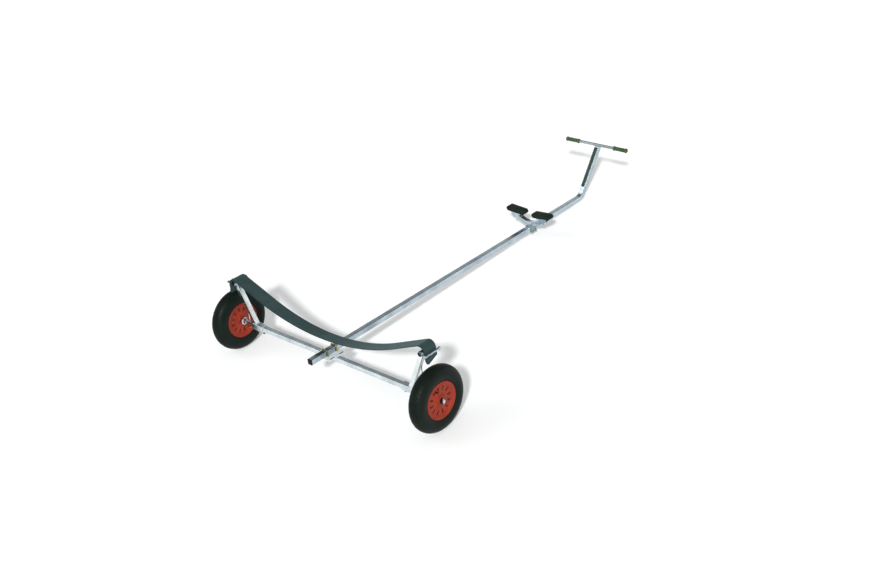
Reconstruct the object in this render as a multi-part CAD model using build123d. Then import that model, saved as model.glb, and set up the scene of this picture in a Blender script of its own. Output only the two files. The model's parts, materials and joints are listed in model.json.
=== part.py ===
from build123d import *
from math import asin, atan2, cos, degrees, hypot, radians, sin, tan
import os

# Dinghy launching trolley, in millimetres.
# Every piece is laid out level, with the wheel axis as the origin, X to the right,
# Y forward to the handle and Z up. At the end the whole trolley is tipped forward
# until the bend of its spine rests on the floor, as it parks.

# Wheels
wheel_diameter = 400.0
tyre_width = 98.0
tyre_tread_width = 64.0
tyre_crown_rise = 12.0
tyre_bulge_radius = 152.0
bead_radius = 104.0
rim_width = 86.0
rim_flange_radius = 113.5
rim_lip = 5.0
rim_well_wall = 6.0
rim_web = 12.0
rim_hub_radius = 31.0
rim_face_recess = 7.0
rim_step_radius = 92.0
rim_step = 4.0
rim_pocket_count = 12
rim_pocket_inner = 58.0
rim_pocket_outer = 84.0
rim_pocket_inner_width = 10.0
rim_pocket_outer_width = 16.0
rim_pocket_depth = 9.0
bush_radius = 17.0
bush_stand_in = 11.0
bush_stand_out = 5.0

# Beam, end sleeves, uprights and the stubs that carry the wheels
beam_side = 32.0
beam_half_length = 652.0
sleeve_side = 42.0
sleeve_bore = 32.6
sleeve_over_beam = 52.0
sleeve_past_beam = 38.0
sleeve_end_plate = 5.0
tube_wall = 2.0
tube_corner = 3.5
stub_tube_side = 27.6
stub_tube_inside_sleeve = 34.0
stub_tube_out = 76.0
upright_side = 30.0
upright_foot_inset = 18.0
brace_width = 32.0
brace_thickness = 6.0
brace_height = 190.0
axle_diameter = 20.0
axle_clearance = 0.05
axle_root = 60.0
axle_stand_out = 8.0
axle_collar_diameter = 36.0
axle_collar_length = 25.7
inner_washer_diameter = 48.0
inner_washer_thickness = 4.0
washer_diameter = 24.0
washer_thickness = 3.0
running_gap = 0.3

# Cradle tubes at the uprights' heads
cradle_inset = 57.0
cradle_z = 278.0
cradle_diameter = 32.0
cradle_rear_y = -28.0
cradle_front_y = 78.0

# Hull strap, hung between the cradle tubes
strap_thickness = 4.0
strap_width = 94.0
strap_middle_y = 20.0
strap_skew = 32.0
strap_middle_z = 115.5
strap_tip = 7.0
strap_slope = 22.25
strap_arch_radius = 36.0
strap_clamp_z = 252.0
strap_tail_flare = 9.0
strap_tail_flare_tip = 3.0
strap_tail_z = 217.5
strap_tail_tip = 10.0
clamp_bar_diameter = 16.0
clamp_bar_length = 116.0
clamp_bar_rear_y = -18.0
clamp_bar_z = 264.0

# Spine with the handle post, one bent tube
spine_side = 35.0
spine_rear_y = -155.0
spine_corner_y = 2471.0
spine_bend_radius = 62.0
post_angle = 51.5
post_length = 400.0
plug_flange = 5.0
plug_depth = 24.0
plug_wall = 3.0

# Handle
crossbar_below_head = 11.0
crossbar_off_post = 26.5
crossbar_length = 508.0
crossbar_diameter = 20.0
grip_length = 104.0
grip_diameter = 28.0
grip_bulb_diameter = 33.0
grip_end_wall = 12.0
grip_flange = 4.0

# Plate and U-bolts that hold the spine on the beam
plate_thickness = 3.0
plate_width = 140.0
plate_depth = 130.0
plate_rear_y = -70.0
plate_corner = 8.0
slot_x = 58.0
slot_width = 9.0
slot_length = 34.0
slot_middle_y = 37.0
ubolt_rod = 8.0
ubolt_y = 36.0
ubolt_gap = 0.3
nut_across_flats = 13.0
nut_height = 6.5
leg_stand_out = 4.0

# Bow support
bow_y = 1908.0
bow_tube_width = 34.0
bow_tube_height = 30.0
bow_tube_bend = 150.0
bow_arm_angle = 24.0
bow_arm_reach = 112.0
bow_saddle_length = 60.0
bow_saddle_wall = 3.0
bow_saddle_drop = 11.0
bow_bolt_diameter = 8.0
bow_bolt_y = 20.0
pad_plate_thickness = 4.0
pad_plate_length = 80.0
pad_cheek_drop = 38.0
pad_cheek_toe = 16.0
pad_cheek_heel = 16.0
pad_length = 154.0
pad_depth = 52.0
pad_thickness = 34.0
pad_chamfer = 11.0
pad_tilt = 4.0
pad_x = 109.0
pad_seat_z = 131.0

# Sizes that follow from those above
wheel_radius = wheel_diameter / 2
sleeve_end_x = beam_half_length + sleeve_past_beam
stub_tube_end_x = sleeve_end_x + stub_tube_out
upright_foot_x = sleeve_end_x - upright_foot_inset
inner_washer_x = stub_tube_end_x + axle_collar_length
wheel_x = inner_washer_x + inner_washer_thickness + running_gap + bush_stand_in + rim_width / 2
cradle_x = wheel_x - cradle_inset
spine_axis_z = beam_side / 2 + plate_thickness + spine_side / 2
spine_top_z = spine_axis_z + spine_side / 2
spine_bottom_z = spine_axis_z - spine_side / 2
bend_run = spine_bend_radius * tan(radians(post_angle / 2))
post_top_y = spine_corner_y + post_length * cos(radians(post_angle))
post_top_z = spine_axis_z + post_length * sin(radians(post_angle))
crossbar_along_post = post_length - crossbar_below_head
crossbar_y = spine_corner_y + crossbar_along_post * cos(radians(post_angle))
crossbar_y -= crossbar_off_post * sin(radians(post_angle))
crossbar_z = spine_axis_z + crossbar_along_post * sin(radians(post_angle))
crossbar_z += crossbar_off_post * cos(radians(post_angle))
bend_start_y = spine_corner_y - bend_run
bend_centre_z = spine_axis_z + spine_bend_radius
heel_radius = spine_bend_radius + spine_side / 2
park_tilt = atan2(bend_centre_z, bend_start_y) + asin(
    (wheel_radius - heel_radius) / hypot(bend_start_y, bend_centre_z)
)
post_lip_y = post_top_y + spine_side / 2 * sin(radians(post_angle))
post_lip_z = post_top_z - spine_side / 2 * cos(radians(post_angle))
front_reach = post_lip_y * cos(park_tilt) + post_lip_z * sin(park_tilt)
park = Location((0, (wheel_radius - front_reach) / 2, wheel_radius), (-degrees(park_tilt), 0, 0))
cradle_radius = cradle_diameter / 2
strap_wrap = cradle_radius + running_gap + strap_thickness / 2
strap_arch_x = cradle_x + strap_wrap - strap_arch_radius

sides = (("left", -1), ("right", 1))


def rounded_square(side, corner):
    """Outline of a square tube, solid."""
    return RectangleRounded(side, side, corner)


def square_ring(side):
    """Section of a square tube with its wall."""
    bore = side - 2 * tube_wall
    return rounded_square(side, tube_corner) - rounded_square(bore, tube_corner - tube_wall / 2)


def plane_at(point, normal, x_dir):
    return Plane(origin=point, x_dir=x_dir, z_dir=normal)


def bar_along_x(section, x_from, x_to, y=0, z=0):
    """A section drawn on its own axes, pulled along X."""
    start = plane_at((min(x_from, x_to), y, z), (1, 0, 0), (0, 1, 0))
    return extrude(start * section, amount=abs(x_to - x_from))


def rod(radius, x_from, x_to):
    """Round bar on the wheel axis."""
    return bar_along_x(Circle(radius), x_from, x_to)


# Tyre: one revolved section with a flat bead seat, bulged walls and a crowned tread
def make_tyre(side):
    half = tyre_width / 2
    tread = tyre_tread_width / 2
    bead = rim_width / 2 - rim_lip
    shoulder = wheel_radius - tyre_crown_rise
    outline = Polyline((-bead, rim_flange_radius), (-bead, bead_radius), (bead, bead_radius),
                       (bead, rim_flange_radius))
    outline += ThreePointArc((bead, rim_flange_radius), (half, tyre_bulge_radius), (tread, shoulder))
    outline += ThreePointArc((tread, shoulder), (0, wheel_radius), (-tread, shoulder))
    outline += ThreePointArc((-tread, shoulder), (-half, tyre_bulge_radius), (-bead, rim_flange_radius))
    ring = revolve(make_face(outline), Axis.X)
    return Pos(side * wheel_x, 0, 0) * ring


# Rim: a moulded barrel with a lip each side, two recessed faces with a ring of pockets, and a long hub
def make_rim(side):
    half = rim_width / 2
    face = half - rim_face_recess
    web_face = face - rim_step
    barrel_bore = bead_radius - rim_well_wall
    rings = [
        (bead_radius, barrel_bore, -half, half),
        (rim_flange_radius, barrel_bore, half - rim_lip, half),
        (rim_flange_radius, barrel_bore, -half, rim_lip - half),
        (rim_hub_radius, bush_radius, -half, half),
    ]
    for way in (-1, 1):
        low = web_face - rim_web
        rings.append((barrel_bore, rim_step_radius, *sorted((way * low, way * face))))
        rings.append((rim_step_radius, rim_hub_radius, *sorted((way * low, way * web_face))))
    rim = Part()
    for outer, inner, x_from, x_to in rings:
        rim += rod(outer, x_from, x_to) - rod(inner, x_from, x_to)
    for way in (-1, 1):
        pocket = bar_along_x(rim_pocket(), way * (web_face - rim_pocket_depth), way * web_face)
        for index in range(rim_pocket_count):
            rim -= pocket.rotate(Axis.X, index * 360 / rim_pocket_count)
    return Pos(side * wheel_x, 0, 0) * rim


def rim_pocket():
    """Outline of one recess between the spokes of a rim's face."""
    inner = rim_pocket_inner_width / 2
    outer = rim_pocket_outer_width / 2
    return Polygon((rim_pocket_inner, -inner), (rim_pocket_outer, -outer), (rim_pocket_outer, outer),
                   (rim_pocket_inner, inner), align=None)


# Bush: the black plastic bearing that lines the hub and stands out of it, further on the inner side
def make_bush(side):
    bore = axle_diameter / 2 + axle_clearance
    inner = side * (wheel_x - rim_width / 2 - bush_stand_in)
    outer = side * (wheel_x + rim_width / 2 + bush_stand_out)
    return rod(bush_radius, inner, outer) - rod(bore, inner, outer)


# Sleeve: a larger square tube over the beam's end, closed by a plate round the stub tube
def make_sleeve(side):
    start = side * (beam_half_length - sleeve_over_beam)
    plate_x = side * (sleeve_end_x - sleeve_end_plate)
    end = side * sleeve_end_x
    outline = rounded_square(sleeve_side, tube_corner + tube_wall)
    tube = bar_along_x(outline - rounded_square(sleeve_bore, tube_corner), start, plate_x)
    plate = bar_along_x(outline - rounded_square(stub_tube_side, tube_corner), plate_x, end)
    return tube + plate


# Stub tube: set in the sleeve's end, it carries the brace and the axle
def make_stub_tube(side):
    inner = sleeve_end_x - stub_tube_inside_sleeve
    return bar_along_x(square_ring(stub_tube_side), side * inner, side * stub_tube_end_x)


# Axle: a round bar set in the stub tube, with a collar and a washer on each side of the hub
def make_axle(side):
    bush_out = wheel_x + rim_width / 2 + bush_stand_out
    washer_in = bush_out + running_gap
    washer_out = washer_in + washer_thickness
    bore = stub_tube_side - 2 * tube_wall
    root = bar_along_x(rounded_square(bore, tube_corner - tube_wall / 2),
                       side * (stub_tube_end_x - axle_root), side * stub_tube_end_x)
    axle = root + rod(axle_diameter / 2, side * stub_tube_end_x, side * (washer_out + axle_stand_out))
    axle += rod(axle_collar_diameter / 2, side * stub_tube_end_x, side * inner_washer_x)
    axle += rod(inner_washer_diameter / 2, side * inner_washer_x,
                side * (inner_washer_x + inner_washer_thickness))
    axle += rod(washer_diameter / 2, side * washer_in, side * washer_out)
    return axle


# Upright: a square tube that leans outward, cut flat on the sleeve and coped to the cradle tube
def upright_line(side):
    foot = Vector(side * upright_foot_x, 0, sleeve_side / 2)
    head = Vector(side * cradle_x, 0, cradle_z)
    lean = (head - foot).normalized()
    start = foot - lean * upright_side
    return plane_at(start, lean, (0, 1, 0)), (head - start).length


def make_upright(side):
    start, length = upright_line(side)
    tube = extrude(start * square_ring(upright_side), amount=length)
    below = Pos(side * upright_foot_x, 0, sleeve_side / 2 - upright_side) * Box(
        4 * upright_side, 2 * upright_side, 2 * upright_side)
    return tube - below - make_cradle_core(side)


def make_cradle_core(side):
    length = cradle_front_y - cradle_rear_y
    start = plane_at((side * cradle_x, cradle_rear_y, cradle_z), (0, 1, 0), (1, 0, 0))
    return extrude(start * Circle(cradle_radius), amount=length)


def make_cradle_tube(side):
    length = cradle_front_y - cradle_rear_y
    start = plane_at((side * cradle_x, cradle_rear_y, cradle_z), (0, 1, 0), (1, 0, 0))
    ring = Circle(cradle_radius) - Circle(cradle_radius - tube_wall)
    return extrude(start * ring, amount=length)


# Brace: a flat bar from the stub tube's end up to the leaning upright
def make_brace(side):
    bottom = stub_tube_side / 2
    bar = Pos(side * (stub_tube_end_x - brace_width / 2), 0, bottom + brace_height / 2) * Box(
        brace_width, brace_thickness, brace_height)
    start, length = upright_line(side)
    core = extrude(start * rounded_square(upright_side, tube_corner), amount=length + upright_side)
    pieces = (bar - core).solids()
    return pieces.sort_by(Axis.X)[-1 if side > 0 else 0]


# Strap: one broad band that sags between the cradle tubes, arches over each and hangs down outside
def strap_face(y, sag_z, flare, tail_z):
    arch = strap_arch_radius
    slope = radians(strap_slope)
    vertex_z = cradle_z + arch / cos(slope) - strap_arch_x * tan(slope)
    sag_radius = (sag_z - vertex_z) / (1 / cos(slope) - 1)
    run_x = sag_radius * sin(slope)
    run_z = vertex_z + run_x * tan(slope)
    touch_x = strap_arch_x - arch * sin(slope)
    touch_z = cradle_z + arch * cos(slope)
    outer = strap_arch_x + arch
    half_turn = (radians(90) - slope) / 2
    over_x = strap_arch_x + arch * sin(half_turn)
    over_z = cradle_z + arch * cos(half_turn)
    line = Polyline((-outer - flare, tail_z), (-outer, strap_clamp_z), (-outer, cradle_z))
    line += ThreePointArc((-outer, cradle_z), (-over_x, over_z), (-touch_x, touch_z))
    line += Line((-touch_x, touch_z), (-run_x, run_z))
    line += ThreePointArc((-run_x, run_z), (0, sag_z), (run_x, run_z))
    line += Line((run_x, run_z), (touch_x, touch_z))
    line += ThreePointArc((touch_x, touch_z), (over_x, over_z), (outer, cradle_z))
    line += Polyline((outer, cradle_z), (outer, strap_clamp_z), (outer + flare, tail_z))
    band = trace(line, strap_thickness)
    return plane_at((0, y, 0), (0, -1, 0), (1, 0, 0)) * band


def make_strap():
    reach = strap_width + strap_skew
    stretch = reach / strap_width
    faces = []
    for end in (-1, 1):
        faces.append(strap_face(strap_middle_y + end * reach / 2,
                                strap_middle_z - end * strap_tip * stretch,
                                strap_tail_flare - end * strap_tail_flare_tip * stretch,
                                strap_tail_z + end * strap_tail_tip * stretch))
    sheet = loft(faces, ruled=True)
    half = cradle_x + strap_wrap + strap_thickness + 2 * strap_tail_flare
    shift = strap_skew / 2 * half / cradle_x
    edge = strap_width / 2
    plan = Polygon((-half, -edge - shift), (half, -edge + shift), (half, edge + shift),
                   (-half, edge - shift), align=None)
    cutter = extrude(Pos(0, strap_middle_y, 0) * plan, amount=cradle_z + cradle_diameter * 2)
    return sheet & cutter


# Clamp bar: a round bar bolted through the cradle tube, holding the strap's tail
def make_clamp_bar(side):
    radius = clamp_bar_diameter / 2
    x = cradle_x + strap_wrap + strap_thickness / 2 + running_gap + radius
    start = plane_at((side * x, clamp_bar_rear_y, clamp_bar_z), (0, 1, 0), (1, 0, 0))
    return extrude(start * Circle(radius), amount=clamp_bar_length)


# Beam and the plate welded on it
def make_beam():
    return bar_along_x(square_ring(beam_side), -beam_half_length, beam_half_length)


def make_plate():
    middle_y = plate_rear_y + plate_depth / 2
    outline = Pos(0, middle_y) * RectangleRounded(plate_width, plate_depth, plate_corner)
    leg_x = spine_side / 2 + ubolt_gap + ubolt_rod / 2
    for x_side in (-1, 1):
        for y_side in (-1, 1):
            outline -= Pos(x_side * slot_x, y_side * slot_middle_y) * Rot(0, 0, 90) * SlotOverall(
                slot_length, slot_width)
            outline -= Pos(x_side * leg_x, y_side * ubolt_y) * Circle(ubolt_rod / 2 + ubolt_gap)
    return extrude(Pos(0, 0, beam_side / 2) * outline, amount=plate_thickness)


# U-bolt: a round rod bent square over the spine, with a nut on each leg under the plate
def make_ubolt(y):
    leg_x = spine_side / 2 + ubolt_gap + ubolt_rod / 2
    top_z = spine_top_z + ubolt_gap + ubolt_rod / 2
    plate_bottom = beam_side / 2
    end_z = plate_bottom - nut_height - leg_stand_out
    line = FilletPolyline((-leg_x, y, end_z), (-leg_x, y, top_z), (leg_x, y, top_z), (leg_x, y, end_z),
                          radius=ubolt_rod)
    bow = sweep(plane_at((-leg_x, y, end_z), (0, 0, 1), (1, 0, 0)) * Circle(ubolt_rod / 2), path=line)
    nut = RegularPolygon(nut_across_flats / 2, 6, major_radius=False)
    for x_side in (-1, 1):
        bow += extrude(Pos(x_side * leg_x, y, plate_bottom - nut_height) * nut, amount=nut_height)
    return bow


# Spine: the long tube, bent up at the front into the handle post
def make_spine():
    line = FilletPolyline((0, spine_rear_y, spine_axis_z), (0, spine_corner_y, spine_axis_z),
                          (0, post_top_y, post_top_z), radius=spine_bend_radius)
    start = plane_at((0, spine_rear_y, spine_axis_z), (0, 1, 0), (1, 0, 0))
    tube = sweep(start * square_ring(spine_side), path=line)
    return tube - crossbar_core()


def crossbar_core():
    return bar_along_x(Circle(crossbar_diameter / 2), -spine_side, spine_side, crossbar_y, crossbar_z)


def make_plug():
    flange = plane_at((0, spine_rear_y - plug_flange, spine_axis_z), (0, 1, 0), (1, 0, 0))
    bore = spine_side - 2 * tube_wall
    cap = extrude(flange * rounded_square(spine_side, tube_corner), amount=plug_flange)
    body = extrude(flange * rounded_square(bore, tube_corner - tube_wall / 2),
                   amount=plug_flange + plug_depth)
    hollow = extrude(Plane(origin=flange.origin + Vector(0, plug_flange, 0), x_dir=(1, 0, 0), z_dir=(0, 1, 0))
                     * rounded_square(bore - 2 * plug_wall, tube_wall), amount=plug_depth)
    return cap + body - hollow


# Handle: a round cross tube let into the post's head, with a moulded grip on each end
def make_crossbar():
    ring = Circle(crossbar_diameter / 2) - Circle(crossbar_diameter / 2 - tube_wall)
    return bar_along_x(ring, -crossbar_length / 2, crossbar_length / 2, crossbar_y, crossbar_z)


def make_grip(side):
    half = crossbar_length / 2
    bulb = grip_bulb_diameter / 2
    body = grip_diameter / 2
    bore = crossbar_diameter / 2
    start = half - grip_length
    end = half + grip_end_wall
    flange = start + grip_flange
    outline = Polyline((half, bore), (start, bore), (start, bulb), (flange, bulb),
                       (flange + grip_flange, body), (half - grip_end_wall, body),
                       (half - grip_flange, bulb), (half, bulb))
    cap_radius = (grip_end_wall ** 2 + bulb ** 2) / (2 * grip_end_wall)
    turn = asin(bulb / cap_radius) / 2
    outline += ThreePointArc((half, bulb), (end - cap_radius + cap_radius * cos(turn), cap_radius * sin(turn)),
                             (end, 0))
    outline += Polyline((end, 0), (half, 0), (half, bore))
    grip = revolve(make_face(outline), Axis.X)
    placed = Pos(0, crossbar_y, crossbar_z) * grip
    return placed if side > 0 else placed.mirror(Plane.YZ)


# Bow support: a tube bent to a shallow V on a saddle that straddles the spine
def make_bow_tube():
    bend_rise = bow_tube_bend * (1 / cos(radians(bow_arm_angle)) - 1)
    base_z = spine_top_z + running_gap + bow_saddle_wall + bow_tube_height / 2 - bend_rise
    arm_z = base_z + bow_arm_reach * tan(radians(bow_arm_angle))
    line = FilletPolyline((-bow_arm_reach, bow_y, arm_z), (0, bow_y, base_z),
                          (bow_arm_reach, bow_y, arm_z), radius=bow_tube_bend)
    normal = (cos(radians(bow_arm_angle)), 0, -sin(radians(bow_arm_angle)))
    start = plane_at((-bow_arm_reach, bow_y, arm_z), normal, (0, 1, 0))
    section = RectangleRounded(bow_tube_width, bow_tube_height, tube_corner)
    section -= RectangleRounded(bow_tube_width - 2 * tube_wall, bow_tube_height - 2 * tube_wall,
                                tube_corner - tube_wall / 2)
    return sweep(start * section, path=line)


def make_bow_saddle():
    inner_x = spine_side / 2 + running_gap
    top_z = spine_top_z + running_gap + bow_saddle_wall
    low_z = spine_bottom_z - bow_saddle_drop
    start = plane_at((0, bow_y + bow_saddle_length / 2, low_z), (0, -1, 0), (1, 0, 0))
    outer_x = inner_x + bow_saddle_wall
    height = top_z - low_z
    outline = Polygon((-outer_x, 0), (outer_x, 0), (outer_x, height), (-outer_x, height), align=None)
    channel = Polygon((-inner_x, 0), (inner_x, 0), (inner_x, height - bow_saddle_wall),
                      (-inner_x, height - bow_saddle_wall), align=None)
    return extrude(start * (outline - channel), amount=bow_saddle_length) - make_bow_bolt_shanks()


def bow_bolt_spots():
    z = spine_bottom_z - running_gap - bow_bolt_diameter / 2
    return [(bow_y - bow_bolt_y, z), (bow_y + bow_bolt_y, z)]


def make_bow_bolt_shanks():
    reach = spine_side / 2 + running_gap + bow_saddle_wall
    shanks = Part()
    for y, z in bow_bolt_spots():
        shanks += bar_along_x(Circle(bow_bolt_diameter / 2), -reach, reach, y, z)
    return shanks


def make_bow_bolts():
    reach = spine_side / 2 + running_gap + bow_saddle_wall
    head = RegularPolygon(nut_across_flats / 2, 6, major_radius=False)
    bolts = make_bow_bolt_shanks()
    for y, z in bow_bolt_spots():
        bolts += bar_along_x(head, -reach - nut_height, -reach, y, z)
        bolts += bar_along_x(head, reach, reach + nut_height, y, z)
    return bolts


def pad_plane(side, rise):
    """Plane parallel to a pad's underside, tilted in to the middle, raised along its own normal."""
    tilt = radians(pad_tilt)
    normal = Vector(-side * sin(tilt), 0, cos(tilt))
    under = Vector(side * pad_x, bow_y, pad_seat_z) - normal * pad_plate_thickness
    return plane_at(under + normal * rise, normal, (cos(tilt), 0, side * sin(tilt)))


# Pad plate: a flat top under the pad with a cheek down each side of the arm
def make_pad_plate(side):
    cheek_y = bow_tube_width / 2 + running_gap
    half = pad_plate_length / 2
    depth = 2 * (cheek_y + pad_plate_thickness)
    plate = extrude(pad_plane(side, 0) * Rectangle(pad_plate_length, depth), amount=pad_plate_thickness)
    base = pad_plane(side, 0)
    cheek = Polygon((-side * half, 0), (side * half, 0), (side * pad_cheek_toe, -pad_cheek_drop),
                    (-side * pad_cheek_heel, -pad_cheek_heel), align=None)
    for y in (-cheek_y - pad_plate_thickness, cheek_y):
        start = Plane(origin=base.origin + Vector(0, y, 0), x_dir=base.x_dir, z_dir=(0, -1, 0))
        plate += extrude(start * cheek, amount=pad_plate_thickness, dir=(0, 1, 0))
    return plate


def make_pad(side):
    under = pad_plane(side, pad_plate_thickness + running_gap)
    profile = Rectangle(pad_length, pad_thickness)
    profile = chamfer(profile.vertices(), pad_chamfer)
    start = Plane(origin=under.origin + under.z_dir * pad_thickness / 2 - Vector(0, pad_depth / 2, 0),
                  x_dir=under.x_dir, z_dir=under.x_dir.cross(under.z_dir) * -1)
    return extrude(start * profile, amount=pad_depth)


parts = {
    "axle_beam": make_beam(),
    "centre_plate": make_plate(),
    "ubolt_rear": make_ubolt(-ubolt_y),
    "ubolt_front": make_ubolt(ubolt_y),
    "spine_tube": make_spine(),
    "spine_end_plug": make_plug(),
    "handle_crossbar": make_crossbar(),
    "strap": make_strap(),
    "bow_bracket_tube": make_bow_tube(),
    "bow_saddle": make_bow_saddle(),
    "bow_bolts": make_bow_bolts(),
}
for name, side in sides:
    parts[f"handle_grip_{name}"] = make_grip(side)
    parts[f"end_sleeve_{name}"] = make_sleeve(side)
    parts[f"stub_tube_{name}"] = make_stub_tube(side)
    parts[f"stub_axle_{name}"] = make_axle(side)
    parts[f"upright_{name}"] = make_upright(side)
    parts[f"brace_{name}"] = make_brace(side)
    parts[f"cradle_tube_{name}"] = make_cradle_tube(side)
    parts[f"clamp_bar_{name}"] = make_clamp_bar(side)
    parts[f"bow_pad_plate_{name}"] = make_pad_plate(side)
    parts[f"bow_pad_{name}"] = make_pad(side)
    parts[f"tyre_{name}"] = make_tyre(side)
    parts[f"rim_{name}"] = make_rim(side)
    parts[f"hub_bush_{name}"] = make_bush(side)

os.makedirs("parts", exist_ok=True)
for node, piece in parts.items():
    export_step(piece.moved(park), f"parts/{node}.step")
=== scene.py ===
import json
from math import atan2, cos, hypot, pi, radians, sin, tan

import bmesh
import bpy
from mathutils import Matrix, Vector


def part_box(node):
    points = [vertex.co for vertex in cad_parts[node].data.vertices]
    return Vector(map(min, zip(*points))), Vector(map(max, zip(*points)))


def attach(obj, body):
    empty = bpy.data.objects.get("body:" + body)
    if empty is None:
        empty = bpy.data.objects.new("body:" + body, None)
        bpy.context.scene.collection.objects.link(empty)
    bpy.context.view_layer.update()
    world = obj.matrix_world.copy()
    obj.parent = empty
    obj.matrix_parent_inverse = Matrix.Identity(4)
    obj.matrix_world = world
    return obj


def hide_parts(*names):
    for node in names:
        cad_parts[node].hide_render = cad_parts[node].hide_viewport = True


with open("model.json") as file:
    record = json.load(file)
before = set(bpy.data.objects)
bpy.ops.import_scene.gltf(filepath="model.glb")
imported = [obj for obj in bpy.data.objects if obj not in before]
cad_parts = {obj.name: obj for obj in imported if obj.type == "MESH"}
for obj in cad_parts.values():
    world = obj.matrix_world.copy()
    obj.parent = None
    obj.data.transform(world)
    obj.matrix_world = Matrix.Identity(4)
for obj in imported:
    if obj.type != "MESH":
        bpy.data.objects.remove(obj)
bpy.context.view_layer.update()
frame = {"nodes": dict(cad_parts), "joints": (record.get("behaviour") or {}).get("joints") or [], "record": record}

# A dinghy launching trolley, in metres, parked on its wheels and on the bend of its spine.
nodes = frame["nodes"]

# Steel frame
# Beam, end sleeves, stub tubes, uprights, braces, cradle tubes and clamp bars: tubes and bars of mild steel,
# coped and welded together or bolted on, and zinc plated bright. The plating dulls in patches and along the
# tubes.


class Value:
    """One socket of a finish, with which its sums are written plainly."""

    def __init__(self, finish, socket):
        self.finish = finish
        self.socket = socket

    def sum(self, operation, first, second):
        return self.finish.node("ShaderNodeMath", {"operation": operation}, [first, second])

    def __add__(self, other):
        return self.sum("ADD", self, other)

    def __radd__(self, other):
        return self.sum("ADD", other, self)

    def __sub__(self, other):
        return self.sum("SUBTRACT", self, other)

    def __rsub__(self, other):
        return self.sum("SUBTRACT", other, self)

    def __mul__(self, other):
        return self.sum("MULTIPLY", self, other)

    def __rmul__(self, other):
        return self.sum("MULTIPLY", other, self)

    def size(self):
        """The value without its sign."""
        return self.finish.node("ShaderNodeMath", {"operation": "ABSOLUTE"}, [self])


class Finish:
    """The nodes of a material or of the sky."""

    def __init__(self, owner):
        owner.use_nodes = True
        self.owner = owner
        self.tree = owner.node_tree
        self.tree.nodes.clear()

    def node(self, kind, settings=None, inputs=(), out=0):
        """Adds a node with its settings, then sets or links its inputs, by number or by name."""
        node = self.tree.nodes.new(kind)
        for name, value in (settings or {}).items():
            if name == "stops":
                for stop, (place, level) in zip(node.color_ramp.elements, value):
                    stop.position, stop.color = place, (level, level, level, 1)
                for place, level in value[2:]:
                    node.color_ramp.elements.new(place).color = (level, level, level, 1)
            else:
                setattr(node, name, value)
        pairs = inputs.items() if isinstance(inputs, dict) else enumerate(inputs)
        for key, value in pairs:
            if isinstance(value, Value):
                self.tree.links.new(value.socket, node.inputs[key])
            else:
                node.inputs[key].default_value = value
        return Value(self, node.outputs[out] if node.outputs else None)

    def noise(self, scale, detail, roughness, stretch=(1, 1, 1)):
        """A cloudy pattern in the piece's own space."""
        place = self.node("ShaderNodeTexCoord", out="Object")
        place = self.node("ShaderNodeMapping", None, {"Vector": place, "Scale": stretch})
        return self.node("ShaderNodeTexNoise", None,
                         {"Vector": place, "Scale": scale, "Detail": detail, "Roughness": roughness})

    def step(self, value, low, high):
        """Nought below low, one above high."""
        return self.node("ShaderNodeMapRange", None, [value, low, high, 0.0, 1.0])

    def blend(self, amount, first, second):
        """Two colours mixed. They are inputs 6 and 7 of the Mix node, and its output 2 is a colour."""
        colours = {0: amount}
        for key, colour in ((6, first), (7, second)):
            colours[key] = colour if isinstance(colour, Value) else (*colour, 1)
        return self.node("ShaderNodeMix", {"data_type": "RGBA"}, colours, out=2)

    def bump(self, height, distance, strength):
        return self.node("ShaderNodeBump", None,
                         {"Height": height, "Distance": distance, "Strength": strength})

    def surface(self, **inputs):
        named = {name.replace("_", " "): value for name, value in inputs.items()}
        self.node("ShaderNodeOutputMaterial", None, [self.node("ShaderNodeBsdfPrincipled", None, named)])
        return self.owner


def plated(name, dull, bright, roughness, metal=1.0):
    """Zinc plating, dull in patches and along the drawn tubes, on a slightly wavy face."""
    finish = Finish(bpy.data.materials.new(name))
    patches = finish.noise(scale=11, detail=5, roughness=0.62)
    drawn = finish.noise(scale=130, detail=3, roughness=0.6, stretch=(1, 0.05, 1))
    wavy = finish.noise(scale=26, detail=2, roughness=0.5)
    amount = finish.step(0.7 * patches + 0.3 * drawn, 0.38, 0.62)
    return finish.surface(Base_Color=finish.blend(amount, dull, bright), Metallic=metal,
                          Roughness=roughness + 0.09 * (1 - amount) + 0.05 * drawn,
                          Normal=finish.bump(0.8 * wavy + 0.2 * drawn, distance=0.0006, strength=0.5))


def dress(piece, material):
    piece.data.materials.clear()
    piece.data.materials.append(material)


# One zinc plating in three copies, set lighter or darker by piece as painted light and shade.
zinc_painted_lit = plated("zinc painted lit", dull=(0.62, 0.68, 0.68), bright=(0.90, 0.94, 0.94), roughness=0.15)
zinc_painted_half_lit = plated("zinc painted half lit", dull=(0.48, 0.55, 0.59), bright=(0.74, 0.80, 0.84), roughness=0.16)
zinc_painted_shaded = plated("zinc painted shaded", dull=(0.36, 0.43, 0.48), bright=(0.52, 0.60, 0.66), roughness=0.15)
dress(nodes["axle_beam"], zinc_painted_half_lit)
for side in ("left", "right"):
    for kind, finish in (("end_sleeve", zinc_painted_half_lit), ("stub_tube", zinc_painted_half_lit), ("stub_axle", zinc_painted_half_lit),
                         ("upright", zinc_painted_lit), ("brace", zinc_painted_lit), ("cradle_tube", zinc_painted_shaded),
                         ("clamp_bar", zinc_painted_shaded)):
        dress(nodes[f"{kind}_{side}"], finish)

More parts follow.
